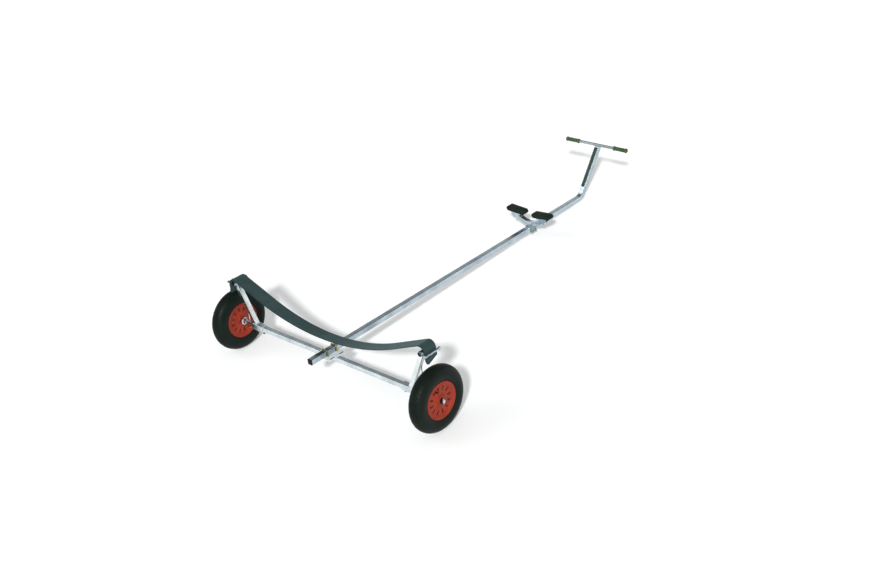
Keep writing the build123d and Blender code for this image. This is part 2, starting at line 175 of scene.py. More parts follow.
# Welds
# Short runs of weld that join the tubes, laid before the plating and so of its colour. Each run is a row of
# small overlapping drops. Their places are those of the level trolley, with the wheels' axis as origin.
strap_mount = next(m for m in frame["record"]["mounts"] if m["name"] == "hull_strap_top")
tilt = atan2(strap_mount["axis"][1], strap_mount["axis"][2])
hubs = {joint["child"]: Vector(joint["pos_m"]) for joint in frame["joints"]}
axle_place = Vector((0, hubs["wheel_right"].y, hubs["wheel_right"].z))
parked = Matrix.Translation(axle_place) @ Matrix.Rotation(-tilt, 4, "X")
weld_radius = 0.0024
weld_pitch = 0.0030
weld_drop_shares = (0.95, 1.15, 1)
weld_drop_floor = -0.6
weld_stand_off = 0.0006
thin_weld_stand_off = 0.0005
beam_half_side = 0.016
sleeve_inner_x = 0.600
sleeve_end_x = 0.690
sleeve_half_side = 0.021
stub_half_side = 0.0138
stub_end_x = 0.766
upright_half_side = 0.015
upright_foot = Vector((0.672, 0, 0.021))
foot_run_half_x = 0.0172
foot_run_half_y = 0.0155
cradle = Vector((0.793, 0, 0.278))
head_run = ((-1, 0.0062), (-0.6, 0.0136), (0, 0.0164), (0.6, 0.0136), (1, 0.0062))
brace_inner_x = 0.734
brace_half_thickness = 0.003
plate_half_width = 0.070
plate_run_y = 0.0166
plate_run_z = 0.0152
post_angle = radians(51.5)
spine_corner = Vector((0, 2.471, 0.0365))
spine_half_side = 0.0175
crossbar_along_post = 0.389
crossbar_run_offset = 0.0062
crossbar_run_half = 0.0165
bow_y = 1.908
bow_tube_half_width = 0.017
bow_saddle_top = 0.0573
bow_run_half = 0.016


def settle(piece, place=parked):
    """Puts the piece's own place and the trolley's stance into its mesh."""
    piece.data.transform(place @ piece.matrix_world)
    piece.matrix_world = Matrix.Identity(4)
    return piece


def take(piece):
    """Makes the piece the only one that the next tool works on."""
    bpy.ops.object.select_all(action="DESELECT")
    piece.select_set(True)
    bpy.context.view_layer.objects.active = piece


def smooth(piece, degrees):
    """Shades the piece smooth, with creases where it turns by more than these degrees."""
    take(piece)
    bpy.ops.object.shade_smooth_by_angle(angle=radians(degrees))


def laid(name, shape, places):
    """One piece made of copies of a shape, one at each place."""
    whole = bmesh.new()
    for place in places:
        copy = shape.data.copy()
        copy.transform(place)
        whole.from_mesh(copy)
        bpy.data.meshes.remove(copy)
    mesh = bpy.data.meshes.new(name)
    whole.to_mesh(mesh)
    whole.free()
    piece = bpy.data.objects.new(name, mesh)
    bpy.context.scene.collection.objects.link(piece)
    return piece


def weld_run(*points):
    """Places of the drops along a run of weld."""
    size = Matrix.Diagonal((*[weld_radius * share for share in weld_drop_shares], 1))
    places = []
    for start, end in zip(points, points[1:]):
        start, end = Vector(start), Vector(end)
        count = max(1, round((end - start).length / weld_pitch))
        turn = (end - start).to_track_quat("X", "Z").to_matrix().to_4x4()
        places += [Matrix.Translation(start.lerp(end, i / count)) @ turn @ size for i in range(count)]
    return places


def square_run(x, half):
    """A run round a square tube."""
    corners = [(x, -half, -half), (x, half, -half), (x, half, half), (x, -half, half), (x, -half, -half)]
    return weld_run(*corners)


bpy.ops.object.select_all(action="DESELECT")
bpy.ops.mesh.primitive_ico_sphere_add(subdivisions=2, radius=1)
weld_drop = bpy.context.object
bpy.ops.object.mode_set(mode="EDIT")
bpy.ops.mesh.select_all(action="SELECT")
bpy.ops.mesh.bisect(plane_co=(0, 0, weld_drop_floor), plane_no=(0, 0, 1), use_fill=True, clear_inner=True)
bpy.ops.object.mode_set(mode="OBJECT")
lean = (cradle - upright_foot).normalized()
flank = Vector((lean.z, 0, -lean.x))
places = []
for way in (-1, 1):
    places += square_run(way * sleeve_inner_x, beam_half_side + weld_stand_off)
    places += square_run(way * sleeve_end_x, stub_half_side + weld_stand_off)
    foot = [(way * (upright_foot.x + u * foot_run_half_x), v * foot_run_half_y, sleeve_half_side)
            for u, v in ((-1, -1), (1, -1), (1, 1), (-1, 1), (-1, -1))]
    places += weld_run(*foot)
    for v in (-1, 1):
        y = v * (brace_half_thickness + weld_stand_off)
        places += weld_run((way * brace_inner_x, y, stub_half_side), (way * stub_end_x, y, stub_half_side))
        low = upright_foot + flank * upright_half_side
        low_run = [low + lean * ((x - low.x) / lean.x) for x in (brace_inner_x, stub_end_x)]
        places += weld_run(*[(way * point.x, y, point.z) for point in low_run])
        y = v * (upright_half_side + thin_weld_stand_off)
        head = [cradle + flank * u * upright_half_side - lean * drop for u, drop in head_run]
        places += weld_run(*[(way * point.x, y, point.z) for point in head])
along_post = Vector((0, cos(post_angle), sin(post_angle)))
off_post = Vector((0, -sin(post_angle), cos(post_angle)))
for v in (-1, 1):
    places += weld_run((-plate_half_width, v * plate_run_y, plate_run_z),
                       (plate_half_width, v * plate_run_y, plate_run_z))
    y = bow_y + v * (bow_tube_half_width + thin_weld_stand_off)
    places += weld_run((-bow_run_half, y, bow_saddle_top), (bow_run_half, y, bow_saddle_top))
    spot = spine_corner + along_post * (crossbar_along_post + v * crossbar_run_offset)
    spot += off_post * (spine_half_side + weld_stand_off)
    places += weld_run(*[spot + Vector((x, 0, 0)) for x in (-crossbar_run_half, crossbar_run_half)])
welds = laid("frame_welds", weld_drop, places)
bpy.data.objects.remove(weld_drop)
smooth(welds, 60)
settle(welds)
dress(welds, plated("weld zinc", dull=(0.36, 0.41, 0.42), bright=(0.56, 0.61, 0.62), roughness=0.38))
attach(welds, "frame")

# Set bolts
# Yellow-plated hexagon bolts with locknuts, screwed up into the sleeves and stub tubes from below to hold the
# beam and the axles. Two more pinch each clamp bar, with long ends and outer nuts on the left and low zinc
# heads on the right. Pressed steel caps close the bars' ends that show.
nut_across_flats = 0.013
nut_height = 0.0065
nut_chamfer = 0.0006
nut_chamfer_width = 0.0009
bolt_head_start = 0.0125
bolt_head_height = 0.0053
bolt_shank = (0.004, 0.013)
bolt_radius = 0.004
thread_pitch = 0.00125
thread_depth = 0.0006
thread_end_depth = 0.0008
washer_radius = 0.0085
washer_thickness = 0.0016
washer_edge = 0.0003
set_bolt_places = (0.612, 0.665)
axle_bolt_x = 0.742
clamp_bar_x = 0.8216
clamp_bar_radius = 0.008
clamp_bar_ends = (-0.018, 0.098)
clamp_bar_z = 0.264
clamp_bolt_places = (-0.010, 0.025)
clamp_bolt_start = -0.022
clamp_bolt_end = 0.042
clamp_washer_start = -0.0006
clamp_nut_start = 0.001
outer_nut_from_end = 0.0085
clamp_head_outline = ((-0.0006, 0), (-0.0006, 0.0074), (0.0008, 0.0074), (0.0024, 0.0060),
                      (0.0034, 0.0036), (0.0038, 0))
clamp_cap_outline = ((-0.0055, 0), (-0.0055, 0.0098), (0.0020, 0.0098), (0.0036, 0.0082),
                     (0.0044, 0.0050), (0.0046, 0))
facing = 0.9


def pick(piece, wanted):
    """Selects, in edit mode, the faces whose middle and normal pass the test."""
    bpy.ops.mesh.select_mode(type="FACE")
    bpy.ops.mesh.select_all(action="DESELECT")
    mesh = bmesh.from_edit_mesh(piece.data)
    for face in mesh.faces:
        face.select_set(wanted(face.calc_center_median(), face.normal))
    bmesh.update_edit_mesh(piece.data)


def turned(name, section, steps):
    """A turned piece: its section, as places along X and radii, is spun about the X axis."""
    bpy.ops.object.select_all(action="DESELECT")
    bpy.ops.mesh.primitive_plane_add(size=0.001)
    piece = bpy.context.object
    piece.name = name
    bpy.ops.object.mode_set(mode="EDIT")
    bpy.ops.mesh.select_mode(type="VERT")
    bpy.ops.mesh.select_all(action="SELECT")
    bpy.ops.mesh.merge(type="CENTER")
    bpy.ops.transform.translate(value=(section[0][0], 0, section[0][1]))
    for (x, radius), (next_x, next_radius) in zip(section, section[1:]):
        bpy.ops.mesh.extrude_region_move(
            TRANSFORM_OT_translate={"value": (next_x - x, 0, next_radius - radius)})
    bpy.ops.mesh.select_all(action="SELECT")
    bpy.ops.mesh.remove_doubles(threshold=1e-6)
    bpy.ops.mesh.spin(steps=steps, angle=2 * pi, center=(0, 0, 0), axis=(1, 0, 0))
    bpy.ops.mesh.select_all(action="SELECT")
    bpy.ops.mesh.remove_doubles(threshold=1e-6)
    bpy.ops.mesh.normals_make_consistent(inside=False)
    bpy.ops.object.mode_set(mode="OBJECT")
    return piece


def hexagon(start, height):
    """A hexagon with chamfered ends on the X axis."""
    bpy.ops.object.select_all(action="DESELECT")
    middle = (start + height / 2, 0, 0)
    flat_height = height - 2 * nut_chamfer
    bpy.ops.mesh.primitive_cylinder_add(vertices=6, radius=nut_across_flats / 2 / cos(pi / 6),
                                        depth=flat_height, location=middle, rotation=(0, pi / 2, 0))
    piece = bpy.context.object
    bpy.ops.object.mode_set(mode="EDIT")
    pick(piece, lambda place, normal: abs(normal.z) > facing)
    bpy.ops.mesh.inset(thickness=nut_chamfer_width)
    bpy.ops.transform.resize(value=(height / flat_height, 1, 1), center_override=middle)
    bpy.ops.object.mode_set(mode="OBJECT")
    return piece


def thread(start, end, radius):
    """A stretch of thread on the X axis, as a row of ridges."""
    ridges = round((end - start) / thread_pitch)
    section = [(start, 0)]
    for ridge in range(ridges):
        x = start + (end - start) * ridge / ridges
        section += [(x, radius - thread_depth), (x + thread_pitch / 2, radius)]
    return turned("thread", section + [(end, radius - thread_end_depth), (end, 0)], steps=20)


def washer(start):
    end = start + washer_thickness
    section = [(start, 0), (start, washer_radius - washer_edge), (start + washer_edge, washer_radius),
               (end - washer_edge, washer_radius), (end, washer_radius - washer_edge), (end, 0)]
    return turned("washer", section, steps=32)


def joined(name, pieces):
    """One shape made of several, with its place put into its mesh."""
    bpy.ops.object.select_all(action="DESELECT")
    for piece in pieces:
        piece.select_set(True)
    bpy.context.view_layer.objects.active = pieces[0]
    bpy.ops.object.join()
    pieces[0].name = name
    return settle(pieces[0], Matrix.Identity(4))


yellow_zinc = plated("yellow zinc", dull=(0.13, 0.11, 0.03), bright=(0.42, 0.33, 0.12), roughness=0.24)
set_bolt = joined("set_bolt", [hexagon(0, nut_height), thread(*bolt_shank, bolt_radius),
                               hexagon(bolt_head_start, bolt_head_height)])
clamp_bolt = joined("clamp_bolt", [washer(clamp_washer_start), hexagon(clamp_nut_start, nut_height),
                                   thread(clamp_bolt_start, clamp_bolt_end, bolt_radius),
                                   hexagon(clamp_bolt_end - outer_nut_from_end, nut_height)])
clamp_head = turned("clamp_head", clamp_head_outline, steps=28)
clamp_cap = turned("clamp_cap", clamp_cap_outline, steps=32)
down = Matrix.Rotation(pi / 2, 4, "Y")
spots = [Matrix.Translation((way * x, 0, -sleeve_half_side)) @ down
         for way in (-1, 1) for x in set_bolt_places]
spots += [Matrix.Translation((way * axle_bolt_x, 0, -stub_half_side)) @ down for way in (-1, 1)]
set_bolts = laid("frame_set_bolts", set_bolt, spots)
bar_side = clamp_bar_x + clamp_bar_radius
long_ends = [Matrix.Translation((-bar_side, y, clamp_bar_z)) @ Matrix.Rotation(pi, 4, "Z")
             for y in clamp_bolt_places]
low_heads = [Matrix.Translation((bar_side, y, clamp_bar_z)) for y in clamp_bolt_places]
rear, front = clamp_bar_ends
caps = [Matrix.Translation((x, y, clamp_bar_z)) @ Matrix.Rotation(turn, 4, "Z") for x, y, turn in
        ((clamp_bar_x, front, pi / 2), (-clamp_bar_x, front, pi / 2), (clamp_bar_x, rear, -pi / 2))]
clamp_bolts = laid("strap_clamp_bolts", clamp_bolt, long_ends)
clamp_heads = laid("strap_clamp_heads", clamp_head, low_heads)
clamp_caps = laid("clamp_bar_caps", clamp_cap, caps)
for shape in (set_bolt, clamp_bolt, clamp_head, clamp_cap):
    bpy.data.objects.remove(shape)
for fixings, finish, slot in (
        (set_bolts, yellow_zinc, "yellow_zinc"), (clamp_bolts, yellow_zinc, "yellow_zinc"),
        (clamp_heads, zinc_painted_shaded, "zinc_steel"), (clamp_caps, zinc_painted_shaded, "zinc_steel")):
    smooth(fixings, 30)
    settle(fixings)
    dress(fixings, finish)
    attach(fixings, "frame")

# Spine
# One long square tube, bent up at its front end into the handle post, with a black plug in its rear end. A
# plain dark strip of thin plastic film is stuck on the post's rear face.
strip_start = 0.075
strip_end = 0.372
strip_width = 0.027
strip_thickness = 0.0006
strip_corner = 0.003
strip_edge = 0.0002
strip_lift = 0.0001


def moulded(name, dark, light, roughness, grain_depth, gloss=0.35):
    """Moulded plastic with a fine grain and faint scuffs."""
    finish = Finish(bpy.data.materials.new(name))
    cloud = finish.noise(scale=18, detail=4, roughness=0.6)
    grain = finish.noise(scale=1400, detail=2, roughness=0.5)
    scuff = finish.noise(scale=60, detail=5, roughness=0.7, stretch=(1, 1, 4))
    return finish.surface(Base_Color=finish.blend(finish.step(cloud, 0.35, 0.7), dark, light),
                          Roughness=roughness + 0.16 * scuff, Specular_IOR_Level=gloss,
                          Normal=finish.bump(grain, distance=grain_depth, strength=0.4))


def modify(piece, kind, **settings):
    """Adds a modifier with its settings and applies it."""
    modifier = piece.modifiers.new(kind.title(), kind)
    for name, value in settings.items():
        setattr(modifier, name, value)
    take(piece)
    bpy.ops.object.modifier_apply(modifier=modifier.name)


dress(nodes["spine_tube"], zinc_painted_shaded)
black_plastic = moulded("black plastic", dark=(0.005, 0.007, 0.007), light=(0.011, 0.013, 0.013),
                        roughness=0.34, grain_depth=0.0002, gloss=0.08)
dress(nodes["spine_end_plug"], black_plastic)
bpy.ops.object.select_all(action="DESELECT")
bpy.ops.mesh.primitive_plane_add(size=1)
strip = bpy.context.object
strip.name = "post_strip"
bpy.ops.object.mode_set(mode="EDIT")
bpy.ops.transform.resize(value=(strip_width, strip_end - strip_start, 1))
bpy.ops.mesh.bevel(offset=strip_corner, segments=4, affect="VERTICES")
bpy.ops.object.mode_set(mode="OBJECT")
modify(strip, "SOLIDIFY", thickness=strip_thickness, offset=1)
modify(strip, "BEVEL", width=strip_edge, segments=2, limit_method="ANGLE", angle_limit=radians(60))
middle = spine_corner + along_post * (strip_start + strip_end) / 2 + off_post * (spine_half_side + strip_lift)
strip.matrix_world = Matrix.Translation(middle) @ Matrix.Rotation(post_angle, 4, "X")
settle(strip)
smooth(strip, 35)
dress(strip, moulded("strip film", dark=(0.018, 0.032, 0.026), light=(0.030, 0.050, 0.042),
                     roughness=0.30, grain_depth=0.0001))
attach(strip, "frame")

# Plate and U-bolts
# A slotted plate of dull-plated steel, welded across the beam, and two U-bolts that clamp the spine down on
# it. The ends of their threads stand out below the nuts, and thin black plastic sheets in the plate's slots are
# painted shade.
ubolt_leg_x = 0.0218
ubolt_radius = 0.0043
ubolt_places = (-0.036, 0.036)
ubolt_nut_low_z = 0.0095
ubolt_end_z = 0.0055
slot_x = 0.058
slot_y = 0.037
slot_length = 0.0336
slot_width = 0.0086
slot_corner_share = 0.499
slot_shade_sheet_z = 0.0172
slot_shade_sheet_thickness = 0.0024
slot_shade_sheet_edge = 0.0005
dress(nodes["centre_plate"], plated("dull zinc", dull=(0.82, 0.86, 0.88), bright=(0.92, 0.95, 0.96),
                                    roughness=0.45, metal=0.2))
for name in ("ubolt_rear", "ubolt_front"):
    dress(nodes[name], yellow_zinc)
# Painted shade: a thin black sheet in each of the plate's slots.
bpy.ops.object.select_all(action="DESELECT")
bpy.ops.mesh.primitive_plane_add(size=1)
slot_shade_sheet = bpy.context.object
bpy.ops.object.mode_set(mode="EDIT")
bpy.ops.transform.resize(value=(slot_width, slot_length, 1))
bpy.ops.mesh.bevel(offset=slot_width * slot_corner_share, segments=6, affect="VERTICES")
bpy.ops.object.mode_set(mode="OBJECT")
modify(slot_shade_sheet, "SOLIDIFY", thickness=slot_shade_sheet_thickness, offset=0)
modify(slot_shade_sheet, "BEVEL", width=slot_shade_sheet_edge, segments=2, limit_method="ANGLE", angle_limit=radians(60))
slot_shade_sheets = laid("plate_slot_shade_sheets", slot_shade_sheet, [
    Matrix.Translation((x, y, slot_shade_sheet_z)) for x in (-slot_x, slot_x) for y in (-slot_y, slot_y)])
bpy.data.objects.remove(slot_shade_sheet)
smooth(slot_shade_sheets, 35)
settle(slot_shade_sheets)
dress(slot_shade_sheets, black_plastic)
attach(slot_shade_sheets, "frame")
thread_end = thread(0, ubolt_nut_low_z - ubolt_end_z, ubolt_radius)
spots = [Matrix.Translation((way * ubolt_leg_x, y, ubolt_nut_low_z)) @ down
         for way in (-1, 1) for y in ubolt_places]
thread_ends = laid("ubolt_thread_ends", thread_end, spots)
bpy.data.objects.remove(thread_end)
smooth(thread_ends, 30)
settle(thread_ends)
dress(thread_ends, yellow_zinc)
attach(thread_ends, "frame")

# Bow support
# A square tube bent to a shallow V, bolted on the spine by its saddle. It carries two blocks of black rubber
# foam with sloped ends, one on each pad plate, tilted in to cradle the bow.
pad_length = 0.154
pad_depth = 0.052
pad_thickness = 0.034
pad_chamfer = 0.011
pad_edge = 0.0035
pad_tilt = radians(4)
pad_lift = 0.0003
pad_x = 0.109
pad_seat_z = 0.131


def foam():
    """Black rubber foam, with its cells as a fine bump."""
    finish = Finish(bpy.data.materials.new("pad foam"))
    cells = finish.noise(scale=500, detail=5, roughness=0.7)
    cloud = finish.noise(scale=25, detail=3, roughness=0.5)
    return finish.surface(
        Base_Color=finish.blend(finish.step(cloud, 0.35, 0.7), (0.006, 0.013, 0.009), (0.012, 0.023, 0.017)),
        Roughness=0.55 + 0.2 * cells, Specular_IOR_Level=0.12,
        Normal=finish.bump(cells, distance=0.0006, strength=0.5))


for name in ("bow_bracket_tube", "bow_pad_plate_left", "bow_pad_plate_right"):
    dress(nodes[name], zinc_painted_shaded)
olive_zinc = plated("olive zinc", dull=(0.15, 0.20, 0.19), bright=(0.33, 0.40, 0.40), roughness=0.28)
for name in ("bow_saddle", "bow_bolts"):
    dress(nodes[name], olive_zinc)
bpy.ops.object.select_all(action="DESELECT")
bpy.ops.mesh.primitive_cube_add(size=1)
pad_block = bpy.context.object
bpy.ops.object.mode_set(mode="EDIT")
bpy.ops.mesh.select_all(action="SELECT")
bpy.ops.transform.resize(value=(pad_length, pad_depth, pad_thickness))
bpy.ops.mesh.select_mode(type="EDGE")
bpy.ops.mesh.select_all(action="DESELECT")
block_mesh = bmesh.from_edit_mesh(pad_block.data)
for edge in block_mesh.edges:
    edge.select_set(abs((edge.verts[0].co - edge.verts[1].co).normalized().y) > facing)
bmesh.update_edit_mesh(pad_block.data)
bpy.ops.mesh.bevel(offset=pad_chamfer, segments=1, affect="EDGES")
bpy.ops.object.mode_set(mode="OBJECT")
modify(pad_block, "BEVEL", width=pad_edge, segments=4, limit_method="ANGLE", angle_limit=radians(25))
pad_foam = foam()
for side, way in (("left", -1), ("right", 1)):
    pad = laid(f"bow_pad_block_{side}", pad_block, [
        Matrix.Translation((way * pad_x, bow_y, pad_seat_z)) @ Matrix.Rotation(-way * pad_tilt, 4, "Y")
        @ Matrix.Translation((0, 0, pad_thickness / 2 + pad_lift))])
    smooth(pad, 40)
    settle(pad)
    dress(pad, pad_foam)
    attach(pad, "frame")
    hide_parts(f"bow_pad_{side}")
bpy.data.objects.remove(pad_block)

# Grips
# Olive-green ribbed grips of moulded plastic, pushed on the cross tube's ends, with a collar at the inner end
# and a knob that closes the outer end.
crossbar_half = 0.254
grip_length = 0.104
grip_radius = 0.014
grip_bore = 0.010
grip_end_wall = 0.012
grip_collar_radius = 0.0165
grip_collar_edge = 0.001
grip_collar_end = 0.005
grip_body_start = 0.008
grip_ribs_start = 0.010
grip_plain_length = 0.022
grip_rib_pitch = 0.0078
grip_rib_height = 0.0014
grip_rib_profile = ((0, 1), (0.0012, 0), (0.0045, 0), (0.0057, 1))
grip_knob_foot = 0.009
grip_knob_start = 0.005
grip_knob_middle = (0.003, 0.009)


def arc(start, middle, end, count):
    """Points on the round stretch from start through middle to end, without the start."""
    (ax, ay), (bx, by), (cx, cy) = start, middle, end
    d = 2 * (ax * (by - cy) + bx * (cy - ay) + cx * (ay - by))
    a2, b2, c2 = ax * ax + ay * ay, bx * bx + by * by, cx * cx + cy * cy
    x = (a2 * (by - cy) + b2 * (cy - ay) + c2 * (ay - by)) / d
    y = (a2 * (cx - bx) + b2 * (ax - cx) + c2 * (bx - ax)) / d
    radius = hypot(ax - x, ay - y)
    first = atan2(ay - y, ax - x)
    way = (atan2(by - y, bx - x) - first + pi) % (2 * pi) - pi
    turn = (atan2(cy - y, cx - x) - first) % (2 * pi)
    turn = turn if way > 0 else turn - 2 * pi
    return [(x + radius * cos(first + turn * i / count), y + radius * sin(first + turn * i / count))
            for i in range(1, count + 1)]


grip_start = crossbar_half - grip_length
grip_end = crossbar_half + grip_end_wall
grip_section = [(crossbar_half, 0), (crossbar_half, grip_bore), (grip_start, grip_bore),
                (grip_start, grip_collar_radius - grip_collar_edge),
                (grip_start + grip_collar_edge, grip_collar_radius),
                (grip_start + grip_collar_end, grip_collar_radius),
                (grip_start + grip_body_start, grip_radius)]
for rib in range(int((grip_length - grip_plain_length) / grip_rib_pitch)):
    rib_x = grip_start + grip_ribs_start + rib * grip_rib_pitch
    grip_section += [(rib_x + x, grip_radius - depth * grip_rib_height) for x, depth in grip_rib_profile]
grip_section += [(crossbar_half - grip_knob_foot, grip_radius),
                 (crossbar_half - grip_knob_start, grip_collar_radius), (crossbar_half, grip_collar_radius)]
grip_section += arc((crossbar_half, grip_collar_radius),
                    (grip_end - grip_knob_middle[0], grip_knob_middle[1]), (grip_end, 0), 8)
dress(nodes["handle_crossbar"], plated("bar zinc", dull=(0.22, 0.26, 0.27), bright=(0.40, 0.45, 0.46),
                                       roughness=0.14))
grip_plastic = moulded("grip plastic", dark=(0.036, 0.066, 0.022), light=(0.060, 0.100, 0.038),
                       roughness=0.42, grain_depth=0.0004)
crossbar_middle = (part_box("handle_crossbar")[0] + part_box("handle_crossbar")[1]) / 2
grip_shape = turned("grip", grip_section, steps=40)
for side, turn in (("left", pi), ("right", 0)):
    grip = laid(f"grip_sleeve_{side}", grip_shape, [
        Matrix.Translation(crossbar_middle) @ Matrix.Rotation(turn, 4, "Z")])
    smooth(grip, 35)
    dress(grip, grip_plastic)
    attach(grip, "frame")
    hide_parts(f"handle_grip_{side}")
bpy.data.objects.remove(grip_shape)

# Hull strap
# One broad band of coated webbing, slate green, that hangs in a smooth sag between the cradle tubes, rounds
# over each and hangs down outside it, clamped there. It lies a little askew, with its rear edge higher.
strap_width = 0.094
strap_thickness = 0.0034
strap_edge = 0.0009
strap_middle_y = 0.020
strap_skew = 0.032
strap_middle_z = 0.1155
strap_tip = 0.007
strap_slope = radians(22.25)
strap_arch_radius = 0.036
strap_outer_x = cradle.x + 0.0183
strap_arch_x = strap_outer_x - strap_arch_radius
strap_clamp_z = 0.252
strap_tail_flare = 0.009
strap_tail_flare_tip = 0.003
strap_tail_flare_power = 1.4
strap_tail_z = 0.2175
strap_tail_tip = 0.010
strap_tail_corner = 0.014
strap_hollow = 0.0014
strap_hollow_reach = 0.7
strap_parts = (44, 18, 16, 3, 10)
strap_rows = 12


def strap_line(across):
    """The band's line from its middle to its right end.

    It is taken at -0.5 (rear edge) to 0.5 (front edge) of the band's width, and has a round sag, a straight
    run up to the cradle tube, a round arch over it, a drop to the clamp bar and a flared tail.
    """
    lean_share = 2 * across
    sag_z = strap_middle_z - lean_share * strap_tip
    flare = strap_tail_flare - lean_share * strap_tail_flare_tip
    tail_z = strap_tail_z + lean_share * strap_tail_tip
    vertex_z = cradle.z + strap_arch_radius / cos(strap_slope) - strap_arch_x * tan(strap_slope)
    radius = (sag_z - vertex_z) / (1 / cos(strap_slope) - 1)
    sag_count, run_count, arch_count, drop_count, tail_count = strap_parts
    run_x = radius * sin(strap_slope)
    run_z = sag_z + radius * (1 - cos(strap_slope))
    touch_x = strap_arch_x - strap_arch_radius * sin(strap_slope)
    touch_z = cradle.z + strap_arch_radius * cos(strap_slope)
    line = []
    for i in range(sag_count):
        turn = strap_slope * i / sag_count
        line.append((radius * sin(turn), sag_z + radius * (1 - cos(turn))))
    for i in range(run_count):
        share = i / run_count
        line.append((run_x + share * (touch_x - run_x), run_z + share * (touch_z - run_z)))
    for i in range(arch_count):
        turn = (pi / 2 + strap_slope) * (1 - i / arch_count)
        line.append((strap_arch_x + strap_arch_radius * cos(turn), cradle.z + strap_arch_radius * sin(turn)))
    for i in range(drop_count):
        line.append((strap_outer_x, cradle.z + (strap_clamp_z - cradle.z) * i / drop_count))
    for i in range(tail_count + 1):
        line.append((strap_outer_x + flare * (i / tail_count) ** strap_tail_flare_power,
                     strap_clamp_z + (tail_z - strap_clamp_z) * i / tail_count))
    return line


def strap_point(column, row):
    """Place of one crossing of the band's mesh, with rounded tail corners and a slightly hollow span."""
    across = row / strap_rows - 0.5
    line = strap_line(across)
    reach = len(line) - 1
    step = abs(column - reach)
    x, z = line[step]
    to_end = (reach - step) / strap_parts[-1] * (strap_clamp_z - strap_tail_z)
    left = max(0, strap_tail_corner - to_end)
    inset = strap_tail_corner - (strap_tail_corner ** 2 - left ** 2) ** 0.5
    x = x if column >= reach else -x
    width = strap_width - 2 * inset
    hollow = strap_hollow * (1 - 4 * across * across) * max(0, 1 - abs(x) / strap_hollow_reach)
    return Vector((x, strap_middle_y + across * width + strap_skew / 2 * x / cradle.x, z - hollow))


strap_columns = 2 * sum(strap_parts)
bpy.ops.object.select_all(action="DESELECT")
bpy.ops.mesh.primitive_grid_add(x_subdivisions=strap_columns, y_subdivisions=strap_rows, size=1)
strap = bpy.context.object
strap.name = "hull_strap_band"
for corner in strap.data.vertices:
    column = round((corner.co.x + 0.5) * strap_columns)
    row = round((corner.co.y + 0.5) * strap_rows)
    corner.co = strap_point(column, row)
middle_line = [strap_point(column, strap_rows // 2) for column in range(strap_columns + 1)]
strap_length = sum((b - a).length for a, b in zip(middle_line, middle_line[1:]))
modify(strap, "SOLIDIFY", thickness=strap_thickness, offset=0)
modify(strap, "BEVEL", width=strap_edge, segments=2, limit_method="ANGLE", angle_limit=radians(50))
smooth(strap, 40)
settle(strap)


def webbing():
    """Coated webbing: a faint weave, darker bound edges and the soft sheen of its yarn."""
    finish = Finish(bpy.data.materials.new("strap webbing"))
    uv = finish.node("ShaderNodeTexCoord", out="UV")
    flat = finish.node("ShaderNodeMapping", None, {"Vector": uv, "Scale": (strap_length, strap_width, 1)})
    weft = finish.node("ShaderNodeTexWave", {"bands_direction": "X"},
                       {"Vector": flat, "Scale": 180, "Distortion": 0.6, "Detail": 1})
    warp = finish.node("ShaderNodeTexWave", {"bands_direction": "Y"},
                       {"Vector": flat, "Scale": 260, "Distortion": 0.4, "Detail": 1})
    cloud = finish.noise(scale=11, detail=4, roughness=0.6)
    fine = finish.noise(scale=700, detail=3, roughness=0.6)
    from_middle = (finish.node("ShaderNodeSeparateXYZ", None, [uv], out="Y") - 0.5).size()
    body = finish.blend(finish.step(cloud, 0.35, 0.68), (0.030, 0.052, 0.053), (0.045, 0.072, 0.073))
    return finish.surface(
        Base_Color=finish.blend(finish.step(from_middle, 0.455, 0.485), body, (0.018, 0.036, 0.038)),
        Roughness=0.30 + 0.14 * cloud + 0.05 * fine, Specular_IOR_Level=0.02,
        Sheen_Weight=0.09, Sheen_Roughness=0.45, Sheen_Tint=(0.50, 0.95, 1.0, 1),
        Normal=finish.bump(0.5 * weft + 0.35 * warp + 0.3 * fine, distance=0.0004, strength=0.45))


dress(strap, webbing())
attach(strap, "frame")
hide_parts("strap")

# Tyres
# Pneumatic tyres of black rubber, moulded with a ribbed tread, a row of small slots on each shoulder and
# rings on the walls. Each is seated on its rim's flanges and turns with it.
tyre_radius = 0.200
tyre_half_width = 0.049
tyre_widest_radius = 0.152
tread_half_width = 0.032
tread_shoulder_radius = 0.188
crown_drop = tyre_radius - tread_shoulder_radius
crown_radius = (tread_half_width ** 2 + crown_drop ** 2) / (2 * crown_drop)
bead_radius = 0.104
bead_half_width = 0.038
flange_radius = 0.1135
wall_steps = 16
wall_ring_steps = (1, 2, 11, 13)
wall_ring_height = 0.0010
rib_grooves = (-0.024, -0.012, 0, 0.012, 0.024)
rib_groove_half_width = 0.0016
rib_groove_depth = 0.0035
rib_groove_shares = ((-1.5, 0), (-0.8, 1), (0.8, 1), (1.5, 0))
shoulder_slot_x = (0.0275, 0.036)
shoulder_slot_radius = 0.184
shoulder_slot_pitch = 3
shoulder_slot_edge = 0.0012
shoulder_slot_sink = (0.97, 0.985, 0.985)
tyre_steps = 144


def crown(x):
    """Radius of the tread at a place across it."""
    return tyre_radius - crown_radius + (crown_radius ** 2 - x * x) ** 0.5


def tyre_section():
    """The tyre's wall, from the inner bead over the tread to the outer bead and back through the bore."""
    wall = arc((-bead_half_width, flange_radius), (-tyre_half_width, tyre_widest_radius),
               (-tread_half_width, tread_shoulder_radius), wall_steps)
    wall = [(x - (wall_ring_height if index in wall_ring_steps else 0), radius)
            for index, (x, radius) in enumerate(wall)]
    tread = []
    for middle in rib_grooves:
        for across, depth in rib_groove_shares:
            x = middle + across * rib_groove_half_width
            tread.append((x, crown(x) - depth * rib_groove_depth))
    near = [(-bead_half_width, bead_radius), (-bead_half_width, flange_radius), *wall]
    return near + tread + [(-x, radius) for x, radius in reversed(near)] + near[:1]


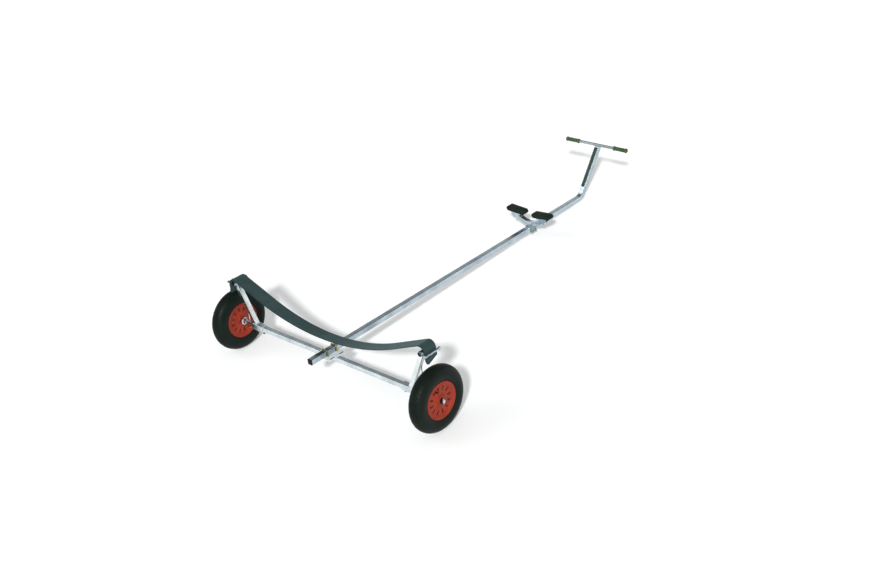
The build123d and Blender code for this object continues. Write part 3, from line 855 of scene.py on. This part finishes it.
def rubber():
    """Black tyre rubber, a little cloudy."""
    finish = Finish(bpy.data.materials.new("tyre rubber"))
    grain = finish.noise(scale=900, detail=4, roughness=0.6)
    cloud = finish.noise(scale=14, detail=3, roughness=0.6)
    return finish.surface(
        Base_Color=finish.blend(finish.step(cloud, 0.42, 0.75), (0.0050, 0.0095, 0.0070),
                                (0.0085, 0.0145, 0.0115)),
        Roughness=0.34 + 0.14 * cloud + 0.05 * grain, Specular_IOR_Level=0.10,
        Normal=finish.bump(grain, distance=0.0004, strength=0.3))


def in_shoulder_slot(place, normal):
    step = int((atan2(place.z, place.y) + pi) / (2 * pi) * tyre_steps)
    near, far = shoulder_slot_x
    return (near < abs(place.x) < far and place.yz.length > shoulder_slot_radius
            and step % shoulder_slot_pitch == 0)


tyre_shape = turned("tyre", tyre_section(), tyre_steps)
take(tyre_shape)
bpy.ops.object.mode_set(mode="EDIT")
pick(tyre_shape, in_shoulder_slot)
bpy.ops.mesh.inset(thickness=shoulder_slot_edge)
bpy.ops.transform.resize(value=shoulder_slot_sink, center_override=(0, 0, 0))
bpy.ops.object.mode_set(mode="OBJECT")
tyre_rubber = rubber()
for side in ("left", "right"):
    tyre = laid(f"tyre_shell_{side}", tyre_shape, [Matrix.Translation(hubs[f"wheel_{side}"])])
    smooth(tyre, 32)
    dress(tyre, tyre_rubber)
    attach(tyre, f"wheel_{side}")
    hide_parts(f"tyre_{side}")
bpy.data.objects.remove(tyre_shape)

# Rims
# Moulded rims of brick-red plastic: a lipped barrel, a stepped face with twelve pockets between short spokes
# on each side, and a long hub that a black bush lines. A short rubber valve stands in one pocket.
rim_half_width = 0.043
rim_edge = 0.002
rim_bevel = 0.0009
rim_steps = 144
rim_bore_radius = 0.01702
rim_hub_radius = 0.031
rim_hub_foot = (0.001, 0.0005)
rim_web_x = 0.032
rim_step_slope = 0.0015
rim_step_radius = 0.092
rim_face_x = 0.036
rim_slope_radii = (0.0965, 0.1035)
rim_lip_radius = 0.106
pocket_inner_radius = 0.058
pocket_outer_radius = 0.084
pocket_count = 12
pocket_half_angle = radians(5.2)
pocket_depth = 0.009
# Where the painted shade in the rims' pockets lies: its radii, and its margin in depth.
pocket_shade_inner_radii = (0.054, 0.057)
pocket_shade_outer_radii = (0.089, 0.086)
pocket_shade_margin = 0.001
valve_radius = 0.072
valve_angle = radians(108)
valve_base_x = rim_web_x - 0.002
valve_outline = ((0, 0), (0, 0.0075), (0.004, 0.0070), (0.007, 0.0046), (0.012, 0.0042), (0.012, 0.0050),
                 (0.017, 0.0047), (0.018, 0.0038), (0.018, 0))


def rim_section():
    """The rim's wall, from the inner side's bore round to the outer side's."""
    foot_x, foot_rise = rim_hub_foot
    slope_start, slope_end = rim_slope_radii
    face = [(rim_half_width, rim_bore_radius), (rim_half_width, rim_hub_radius - rim_edge),
            (rim_half_width - rim_edge, rim_hub_radius), (rim_web_x + foot_x, rim_hub_radius + foot_rise),
            (rim_web_x, rim_hub_radius + rim_edge), (rim_web_x, pocket_inner_radius),
            (rim_web_x, pocket_outer_radius), (rim_web_x, rim_step_radius - rim_step_slope),
            (rim_face_x, rim_step_radius), (rim_face_x, slope_start), (rim_half_width - rim_edge, slope_end),
            (rim_half_width, rim_lip_radius), (rim_half_width, flange_radius - rim_edge),
            (rim_half_width - rim_edge, flange_radius), (bead_half_width, flange_radius),
            (bead_half_width, bead_radius)]
    return [(-x, radius) for x, radius in face] + face[::-1] + [(-rim_half_width, rim_bore_radius)]


def in_pocket(place, normal):
    pitch = 2 * pi / pocket_count
    spread = (atan2(place.z, place.y) + pitch / 2) % pitch - pitch / 2
    return (pocket_inner_radius < place.yz.length < pocket_outer_radius and abs(normal.x) > facing
            and abs(spread) < pocket_half_angle)


def rim_moulding():
    """Brick-red plastic, with painted shade darkening the pockets."""
    finish = Finish(bpy.data.materials.new("rim plastic"))
    cloud = finish.noise(scale=18, detail=4, roughness=0.6)
    grain = finish.noise(scale=1400, detail=2, roughness=0.5)
    scuff = finish.noise(scale=60, detail=5, roughness=0.7)
    place = finish.node("ShaderNodeTexCoord", out="Object")
    across = finish.node("ShaderNodeSeparateXYZ", None, [place], out="X")
    depth = (across.size() - hubs["wheel_right"].x).size()
    flat = finish.node("ShaderNodeVectorMath", {"operation": "MULTIPLY"}, [place, (0, 1, 1)])
    radius = finish.node("ShaderNodeVectorMath", {"operation": "DISTANCE"}, [flat, axle_place], out="Value")
    ring = finish.step(radius, *pocket_shade_inner_radii) * finish.step(radius, *pocket_shade_outer_radii)
    # Painted shade: a darker colour on the pockets' floors and walls.
    pocket_shade = ring * finish.step(depth, rim_web_x - pocket_shade_margin, rim_web_x - pocket_depth + pocket_shade_margin)
    red = finish.blend(finish.step(cloud, 0.35, 0.7), (0.25, 0.025, 0.010), (0.32, 0.036, 0.015))
    return finish.surface(Base_Color=finish.blend(pocket_shade * (0.35 + 0.5 * scuff), red, (0.045, 0.018, 0.009)),
                          Roughness=0.36 + 0.16 * scuff, Specular_IOR_Level=0.2,
                          Normal=finish.bump(grain, distance=0.0002, strength=0.4))


rim_shape = turned("rim", rim_section(), rim_steps)
take(rim_shape)
bpy.ops.object.mode_set(mode="EDIT")
for way in (-1, 1):
    pick(rim_shape, lambda place, normal: in_pocket(place, normal) and place.x * way > 0)
    bpy.ops.mesh.extrude_region_move(TRANSFORM_OT_translate={"value": (-way * pocket_depth, 0, 0)})
bpy.ops.object.mode_set(mode="OBJECT")
modify(rim_shape, "BEVEL", width=rim_bevel, segments=2, limit_method="ANGLE", angle_limit=radians(50))
valve_shape = turned("valve", [(valve_base_x + x, radius) for x, radius in valve_outline], steps=24)
rim_plastic = rim_moulding()
for side, turn in (("left", pi), ("right", 0)):
    body = f"wheel_{side}"
    rim = laid(f"rim_moulding_{side}", rim_shape, [Matrix.Translation(hubs[body])])
    smooth(rim, 40)
    dress(rim, rim_plastic)
    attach(rim, body)
    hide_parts(f"rim_{side}")
    valve = laid(f"tyre_valve_{side}", valve_shape, [
        Matrix.Translation(hubs[body]) @ Matrix.Rotation(turn, 4, "Z")
        @ Matrix.Translation((0, valve_radius * cos(valve_angle), valve_radius * sin(valve_angle)))])
    smooth(valve, 35)
    dress(valve, black_plastic)
    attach(valve, body)
    dress(nodes[f"hub_bush_{side}"], black_plastic)
bpy.data.objects.remove(rim_shape)
bpy.data.objects.remove(valve_shape)

# Axle ends
# A split pin of soft steel wire through each axle's end keeps the wheel on, with its eye above and its two
# legs spread below. A black plastic ring covers the washer behind it.
pin_radius = 0.0012
pin_from_end = 0.0036
pin_eye_radius = 0.0034
pin_eye_z = 0.0136
pin_leg_length = 0.024
pin_leg_y = 0.0011
pin_leg_z = -0.002
pin_leg_bends = ((0.0035, -0.0035), (0.0045, -0.0008))
cover_inner_radius = 0.0101
cover_bore_radius = 0.0122
cover_radius = 0.0152
cover_length = 0.0046
cover_lip = 0.0012
cover_edge = 0.0006
cover_gap = 0.0002
bpy.ops.object.select_all(action="DESELECT")
bpy.ops.mesh.primitive_torus_add(major_radius=pin_eye_radius, minor_radius=pin_radius, major_segments=24,
                                 minor_segments=10, location=(0, 0, pin_eye_z), rotation=(0, pi / 2, 0))
pin_parts = [bpy.context.object]
for way in (-1, 1):
    bpy.ops.mesh.primitive_cylinder_add(vertices=12, radius=pin_radius, depth=pin_leg_length,
                                        location=(0, way * pin_leg_y, pin_leg_z))
    leg = bpy.context.object
    bpy.ops.object.mode_set(mode="EDIT")
    pick(leg, lambda place, normal: normal.z < -facing)
    for y, z in pin_leg_bends:
        bpy.ops.mesh.extrude_region_move(TRANSFORM_OT_translate={"value": (0, way * y, z)})
    bpy.ops.object.mode_set(mode="OBJECT")
    pin_parts.append(leg)
pin_shape = joined("pin", pin_parts)
cover_shape = turned("cover", [
    (0, cover_bore_radius), (0, cover_radius - cover_edge), (cover_edge, cover_radius),
    (cover_length - cover_lip, cover_radius), (cover_length, cover_radius - cover_lip),
    (cover_length, cover_inner_radius), (cover_length - cover_lip, cover_inner_radius),
    (cover_length - cover_lip, cover_bore_radius), (0, cover_bore_radius)], steps=40)
for side, way, turn in (("left", -1, pi), ("right", 1, 0)):
    bush_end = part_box(f"hub_bush_{side}")[0 if way < 0 else 1].x
    axle_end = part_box(f"stub_axle_{side}")[0 if way < 0 else 1].x
    pin = laid(f"split_pin_{side}", pin_shape, [Matrix.Translation((axle_end - way * pin_from_end, 0, 0))])
    cover = laid(f"washer_cover_{side}", cover_shape, [
        Matrix.Translation((bush_end + way * cover_gap, 0, 0)) @ Matrix.Rotation(turn, 4, "Z")])
    for piece, finish, slot in ((pin, zinc_painted_lit, "zinc_steel"), (cover, black_plastic, "black_plastic")):
        smooth(piece, 40)
        settle(piece)
        dress(piece, finish)
        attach(piece, "frame")
for shape in (pin_shape, cover_shape):
    bpy.data.objects.remove(shape)

# Studio
# A pale floor, one soft key light from behind the camera and a little to its left, a softbox high on the
# left, and a room that is white round the horizon and darker above it, which the tubes' top faces reflect.
camera_place = Vector((5.103, -3.716 + axle_place.y, 4.311))
camera_turn = 47.68
camera_dip = 31.01
camera_roll = -11.31
focal_pixels = 1268
picture_pixels = 870
sensor_width = 36
key_turn = 38
key_height = 37
key_power = 2.7
key_spread = 4.5
floor_size = 60
floor_grey = 0.88
floor_glow = 0.20
softbox_way = (-0.57, -0.47, 0.66)
softbox_spread = radians(13)
softbox_fade = radians(4)
softbox_strength = 2.5
sky_stops = ((0.0, 1.0), (0.24, 1.0), (0.42, 0.38), (0.55, 0.09), (0.72, 0.10), (0.85, 0.45), (1.0, 0.50))
sky_tint = (0.96, 1.0, 1.0, 1)
white = (1, 1, 1, 1)

camera = bpy.data.objects.new("camera", bpy.data.cameras.new("camera"))
bpy.context.scene.collection.objects.link(camera)
camera.matrix_world = (Matrix.Translation(camera_place) @ Matrix.Rotation(radians(camera_turn), 4, "Z")
                       @ Matrix.Rotation(radians(90 - camera_dip), 4, "X")
                       @ Matrix.Rotation(radians(camera_roll), 4, "Z"))
camera.data.sensor_width = sensor_width
camera.data.lens = focal_pixels * sensor_width / picture_pixels
camera.data.clip_end = floor_size
bpy.context.scene.camera = camera

key = bpy.data.objects.new("key light", bpy.data.lights.new("key light", "SUN"))
bpy.context.scene.collection.objects.link(key)
key.data.energy = key_power
key.data.angle = radians(key_spread)
key.matrix_world = (Matrix.Rotation(radians(key_turn), 4, "Z")
                    @ Matrix.Rotation(radians(90 - key_height), 4, "X"))

bpy.ops.object.select_all(action="DESELECT")
bpy.ops.mesh.primitive_plane_add(size=floor_size)
floor = bpy.context.object
floor.name = "floor"
ground = Finish(bpy.data.materials.new("floor"))
matt = ground.node("ShaderNodeBsdfDiffuse", None, {"Color": (floor_grey, floor_grey, floor_grey, 1)})
glow = ground.node("ShaderNodeEmission", None, {"Color": white, "Strength": floor_glow})
dark = ground.node("ShaderNodeEmission", None, {"Strength": 0.0})
rays = ground.node("ShaderNodeLightPath").socket.node.outputs
kinds = [Value(ground, rays[kind]) for kind in ("Is Camera Ray", "Is Glossy Ray", "Is Transmission Ray")]
shown = ground.node("ShaderNodeMixShader", None, [kinds[0] + kinds[1] + kinds[2], dark, glow])
ground.node("ShaderNodeOutputMaterial", None, [ground.node("ShaderNodeAddShader", None, [matt, shown])])
dress(floor, ground.owner)

world = bpy.data.worlds.new("sky")
bpy.context.scene.world = world
sky = Finish(world)
direction = sky.node("ShaderNodeTexCoord", out="Generated")
height = sky.node("ShaderNodeSeparateXYZ", None, [direction], out="Z")
level = sky.node("ShaderNodeValToRGB", {"stops": sky_stops}, [height])
toward = sky.node("ShaderNodeVectorMath", {"operation": "DOT_PRODUCT"}, [direction, softbox_way], out="Value")
softbox = sky.step(toward, cos(softbox_spread + softbox_fade), cos(softbox_spread))
shade = sky.node("ShaderNodeMix", {"data_type": "RGBA", "blend_type": "MULTIPLY"},
                 {0: 1.0, 6: level, 7: sky_tint}, out=2)
room = sky.node("ShaderNodeBackground", None, [shade, 1.0])
lamp = sky.node("ShaderNodeBackground", None, [white, softbox_strength])
backdrop = sky.node("ShaderNodeBackground", None, [white, 1.0])
lit = sky.node("ShaderNodeMixShader", None, [softbox, room, lamp])
camera_ray = Value(sky, sky.node("ShaderNodeLightPath").socket.node.outputs["Is Camera Ray"])
sky.node("ShaderNodeOutputWorld", None, [sky.node("ShaderNodeMixShader", None, [camera_ray, lit, backdrop])])

bpy.context.scene.view_settings.view_transform = "Standard"
